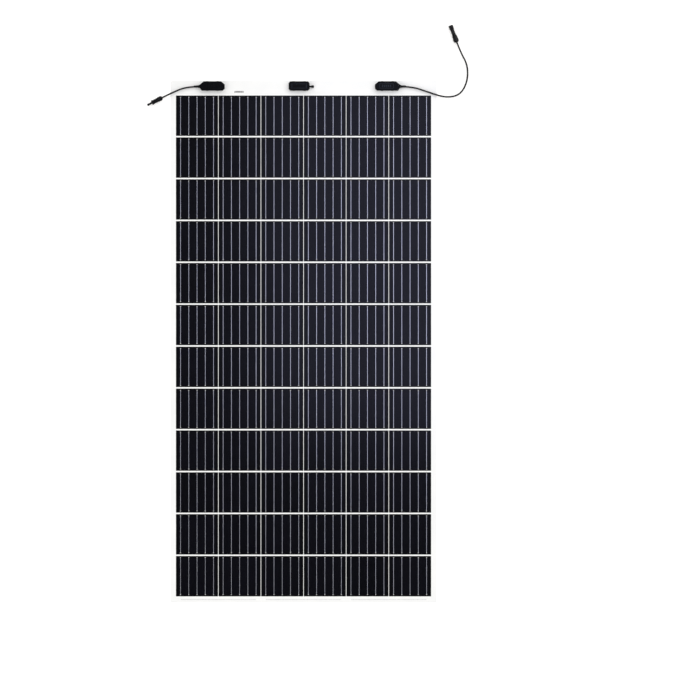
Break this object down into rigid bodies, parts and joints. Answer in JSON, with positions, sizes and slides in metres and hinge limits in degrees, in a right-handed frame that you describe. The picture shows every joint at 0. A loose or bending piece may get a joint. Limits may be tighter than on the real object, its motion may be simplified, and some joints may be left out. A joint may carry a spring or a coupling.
{
  "type": "flexible solar sheet",
  "caption": "Thin bendable photovoltaic laminate with square cells on a white backing, low black junction boxes along a short edge and leads with push-fit connectors.",
  "frame": {"origin": "middle of the sheet's back face, on the surface it lies on", "axes": "+X to the right, +Y along the sheet towards the junction boxes, +Z out of the cell face"},
  "size_m": [1.2935, 2.3245, 0.0222],
  "materials": {
    "backsheet": "satin",
    "clear_film": "gloss",
    "cell": "satin",
    "ribbon": "satin",
    "label": "matte",
    "box_plastic": "matte",
    "cable_jacket": "matte",
    "connector_plastic": "matte",
    "seal_rubber": "matte",
    "contact_metal": "polished",
    "diode_body": "matte"
  },
  "bodies": {
    "strip_01": {"backsheet_strip_01": "backsheet", "rating_label": "label", "left_box_base": "box_plastic", "left_box_lid": "box_plastic", "left_box_diode": "diode_body", "left_box_terminals": "contact_metal", "middle_box_base": "box_plastic", "middle_box_lid": "box_plastic", "middle_box_diode": "diode_body", "middle_box_terminals": "contact_metal", "right_box_base": "box_plastic", "right_box_lid": "box_plastic", "right_box_diode": "diode_body", "right_box_terminals": "contact_metal", "middle_stub_cap": "seal_rubber", "left_cable": "cable_jacket", "left_plug_body": "connector_plastic", "left_wire_seal": "seal_rubber", "left_nose_seal": "seal_rubber", "left_contact_sleeve": "contact_metal", "right_cable": "cable_jacket", "right_socket_body": "connector_plastic", "right_wire_seal": "seal_rubber", "right_contact_pin": "contact_metal"},
    "strip_02": {"backsheet_strip_02": "backsheet"},
    "strip_03": {"backsheet_strip_03": "backsheet"},
    "strip_04": {"backsheet_strip_04": "backsheet"},
    "strip_05": {"backsheet_strip_05": "backsheet"},
    "strip_06": {"backsheet_strip_06": "backsheet"},
    "strip_07": {"backsheet_strip_07": "backsheet"},
    "strip_08": {"backsheet_strip_08": "backsheet"},
    "strip_09": {"backsheet_strip_09": "backsheet"},
    "strip_10": {"backsheet_strip_10": "backsheet"},
    "strip_11": {"backsheet_strip_11": "backsheet"},
    "strip_12": {"backsheet_strip_12": "backsheet", "rear_encapsulant": "clear_film", "bus_ribbons": "ribbon", "cell_ribbons": "ribbon", "front_encapsulant": "clear_film", "front_film": "clear_film", "cell_string_1": "cell", "cell_string_2": "cell", "cell_string_3": "cell", "cell_string_4": "cell", "cell_string_5": "cell", "cell_string_6": "cell"},
    "strip_13": {"backsheet_strip_13": "backsheet"},
    "strip_14": {"backsheet_strip_14": "backsheet"},
    "strip_15": {"backsheet_strip_15": "backsheet"},
    "strip_16": {"backsheet_strip_16": "backsheet"},
    "strip_17": {"backsheet_strip_17": "backsheet"},
    "strip_18": {"backsheet_strip_18": "backsheet"},
    "strip_19": {"backsheet_strip_19": "backsheet"},
    "strip_20": {"backsheet_strip_20": "backsheet"},
    "strip_21": {"backsheet_strip_21": "backsheet"},
    "strip_22": {"backsheet_strip_22": "backsheet"},
    "strip_23": {"backsheet_strip_23": "backsheet"},
    "strip_24": {"backsheet_strip_24": "backsheet"},
    "left_nut": {"left_gland_nut": "connector_plastic"},
    "right_nut": {"right_gland_nut": "connector_plastic"}
  },
  "joints": [
    {"name": "bend_01", "type": "hinge", "parent": "strip_01", "child": "strip_02", "pos_m": [0, 0.909, 0.0025], "axis": [-1, 0, 0], "range_deg": [0, 10], "stiffness_Nm_per_rad": 3, "deforming": ["rear_encapsulant", "bus_ribbons", "cell_ribbons", "front_encapsulant", "front_film", "cell_string_1", "cell_string_2", "cell_string_3", "cell_string_4", "cell_string_5", "cell_string_6"]},
    {"name": "bend_02", "type": "hinge", "parent": "strip_02", "child": "strip_03", "pos_m": [0, 0.82475, 0.0025], "axis": [-1, 0, 0], "range_deg": [0, 10], "stiffness_Nm_per_rad": 3},
    {"name": "bend_03", "type": "hinge", "parent": "strip_03", "child": "strip_04", "pos_m": [0, 0.7405, 0.0025], "axis": [-1, 0, 0], "range_deg": [0, 10], "stiffness_Nm_per_rad": 3},
    {"name": "bend_04", "type": "hinge", "parent": "strip_04", "child": "strip_05", "pos_m": [0, 0.65625, 0.0025], "axis": [-1, 0, 0], "range_deg": [0, 10], "stiffness_Nm_per_rad": 3},
    {"name": "bend_05", "type": "hinge", "parent": "strip_05", "child": "strip_06", "pos_m": [0, 0.572, 0.0025], "axis": [-1, 0, 0], "range_deg": [0, 10], "stiffness_Nm_per_rad": 3},
    {"name": "bend_06", "type": "hinge", "parent": "strip_06", "child": "strip_07", "pos_m": [0, 0.48775, 0.0025], "axis": [-1, 0, 0], "range_deg": [0, 10], "stiffness_Nm_per_rad": 3},
    {"name": "bend_07", "type": "hinge", "parent": "strip_07", "child": "strip_08", "pos_m": [0, 0.4035, 0.0025], "axis": [-1, 0, 0], "range_deg": [0, 10], "stiffness_Nm_per_rad": 3},
    {"name": "bend_08", "type": "hinge", "parent": "strip_08", "child": "strip_09", "pos_m": [0, 0.31925, 0.0025], "axis": [-1, 0, 0], "range_deg": [0, 10], "stiffness_Nm_per_rad": 3},
    {"name": "bend_09", "type": "hinge", "parent": "strip_09", "child": "strip_10", "pos_m": [0, 0.235, 0.0025], "axis": [-1, 0, 0], "range_deg": [0, 10], "stiffness_Nm_per_rad": 3},
    {"name": "bend_10", "type": "hinge", "parent": "strip_10", "child": "strip_11", "pos_m": [0, 0.15075, 0.0025], "axis": [-1, 0, 0], "range_deg": [0, 10], "stiffness_Nm_per_rad": 3},
    {"name": "bend_11", "type": "hinge", "parent": "strip_11", "child": "strip_12", "pos_m": [0, 0.0665, 0.0025], "axis": [-1, 0, 0], "range_deg": [0, 10], "stiffness_Nm_per_rad": 3},
    {"name": "bend_12", "type": "hinge", "parent": "strip_12", "child": "strip_13", "pos_m": [0, -0.01775, 0.0025], "axis": [-1, 0, 0], "range_deg": [0, 10], "stiffness_Nm_per_rad": 3},
    {"name": "bend_13", "type": "hinge", "parent": "strip_13", "child": "strip_14", "pos_m": [0, -0.102, 0.0025], "axis": [-1, 0, 0], "range_deg": [0, 10], "stiffness_Nm_per_rad": 3},
    {"name": "bend_14", "type": "hinge", "parent": "strip_14", "child": "strip_15", "pos_m": [0, -0.18625, 0.0025], "axis": [-1, 0, 0], "range_deg": [0, 10], "stiffness_Nm_per_rad": 3},
    {"name": "bend_15", "type": "hinge", "parent": "strip_15", "child": "strip_16", "pos_m": [0, -0.2705, 0.0025], "axis": [-1, 0, 0], "range_deg": [0, 10], "stiffness_Nm_per_rad": 3},
    {"name": "bend_16", "type": "hinge", "parent": "strip_16", "child": "strip_17", "pos_m": [0, -0.35475, 0.0025], "axis": [-1, 0, 0], "range_deg": [0, 10], "stiffness_Nm_per_rad": 3},
    {"name": "bend_17", "type": "hinge", "parent": "strip_17", "child": "strip_18", "pos_m": [0, -0.439, 0.0025], "axis": [-1, 0, 0], "range_deg": [0, 10], "stiffness_Nm_per_rad": 3},
    {"name": "bend_18", "type": "hinge", "parent": "strip_18", "child": "strip_19", "pos_m": [0, -0.52325, 0.0025], "axis": [-1, 0, 0], "range_deg": [0, 10], "stiffness_Nm_per_rad": 3},
    {"name": "bend_19", "type": "hinge", "parent": "strip_19", "child": "strip_20", "pos_m": [0, -0.6075, 0.0025], "axis": [-1, 0, 0], "range_deg": [0, 10], "stiffness_Nm_per_rad": 3},
    {"name": "bend_20", "type": "hinge", "parent": "strip_20", "child": "strip_21", "pos_m": [0, -0.69175, 0.0025], "axis": [-1, 0, 0], "range_deg": [0, 10], "stiffness_Nm_per_rad": 3},
    {"name": "bend_21", "type": "hinge", "parent": "strip_21", "child": "strip_22", "pos_m": [0, -0.776, 0.0025], "axis": [-1, 0, 0], "range_deg": [0, 10], "stiffness_Nm_per_rad": 3},
    {"name": "bend_22", "type": "hinge", "parent": "strip_22", "child": "strip_23", "pos_m": [0, -0.86025, 0.0025], "axis": [-1, 0, 0], "range_deg": [0, 10], "stiffness_Nm_per_rad": 3},
    {"name": "bend_23", "type": "hinge", "parent": "strip_23", "child": "strip_24", "pos_m": [0, -0.9445, 0.0025], "axis": [-1, 0, 0], "range_deg": [0, 10], "stiffness_Nm_per_rad": 3},
    {"name": "left_nut_turn", "type": "hinge", "parent": "strip_01", "child": "left_nut", "pos_m": [-0.57563, 0.97787, 0.01], "axis": [-0.891, -0.454, 0], "continuous": true},
    {"name": "right_nut_turn", "type": "hinge", "parent": "strip_01", "child": "right_nut", "pos_m": [0.6137, 1.21149, 0.0112], "axis": [-0.3502, 0.9367, 0], "continuous": true}
  ],
  "couplings": [
    {"joint": "bend_02", "follows": "bend_01", "ratio": 1},
    {"joint": "bend_03", "follows": "bend_01", "ratio": 1},
    {"joint": "bend_04", "follows": "bend_01", "ratio": 1},
    {"joint": "bend_05", "follows": "bend_01", "ratio": 1},
    {"joint": "bend_06", "follows": "bend_01", "ratio": 1},
    {"joint": "bend_07", "follows": "bend_01", "ratio": 1},
    {"joint": "bend_08", "follows": "bend_01", "ratio": 1},
    {"joint": "bend_09", "follows": "bend_01", "ratio": 1},
    {"joint": "bend_10", "follows": "bend_01", "ratio": 1},
    {"joint": "bend_11", "follows": "bend_01", "ratio": 1},
    {"joint": "bend_12", "follows": "bend_01", "ratio": 1},
    {"joint": "bend_13", "follows": "bend_01", "ratio": 1},
    {"joint": "bend_14", "follows": "bend_01", "ratio": 1},
    {"joint": "bend_15", "follows": "bend_01", "ratio": 1},
    {"joint": "bend_16", "follows": "bend_01", "ratio": 1},
    {"joint": "bend_17", "follows": "bend_01", "ratio": 1},
    {"joint": "bend_18", "follows": "bend_01", "ratio": 1},
    {"joint": "bend_19", "follows": "bend_01", "ratio": 1},
    {"joint": "bend_20", "follows": "bend_01", "ratio": 1},
    {"joint": "bend_21", "follows": "bend_01", "ratio": 1},
    {"joint": "bend_22", "follows": "bend_01", "ratio": 1},
    {"joint": "bend_23", "follows": "bend_01", "ratio": 1}
  ]
}
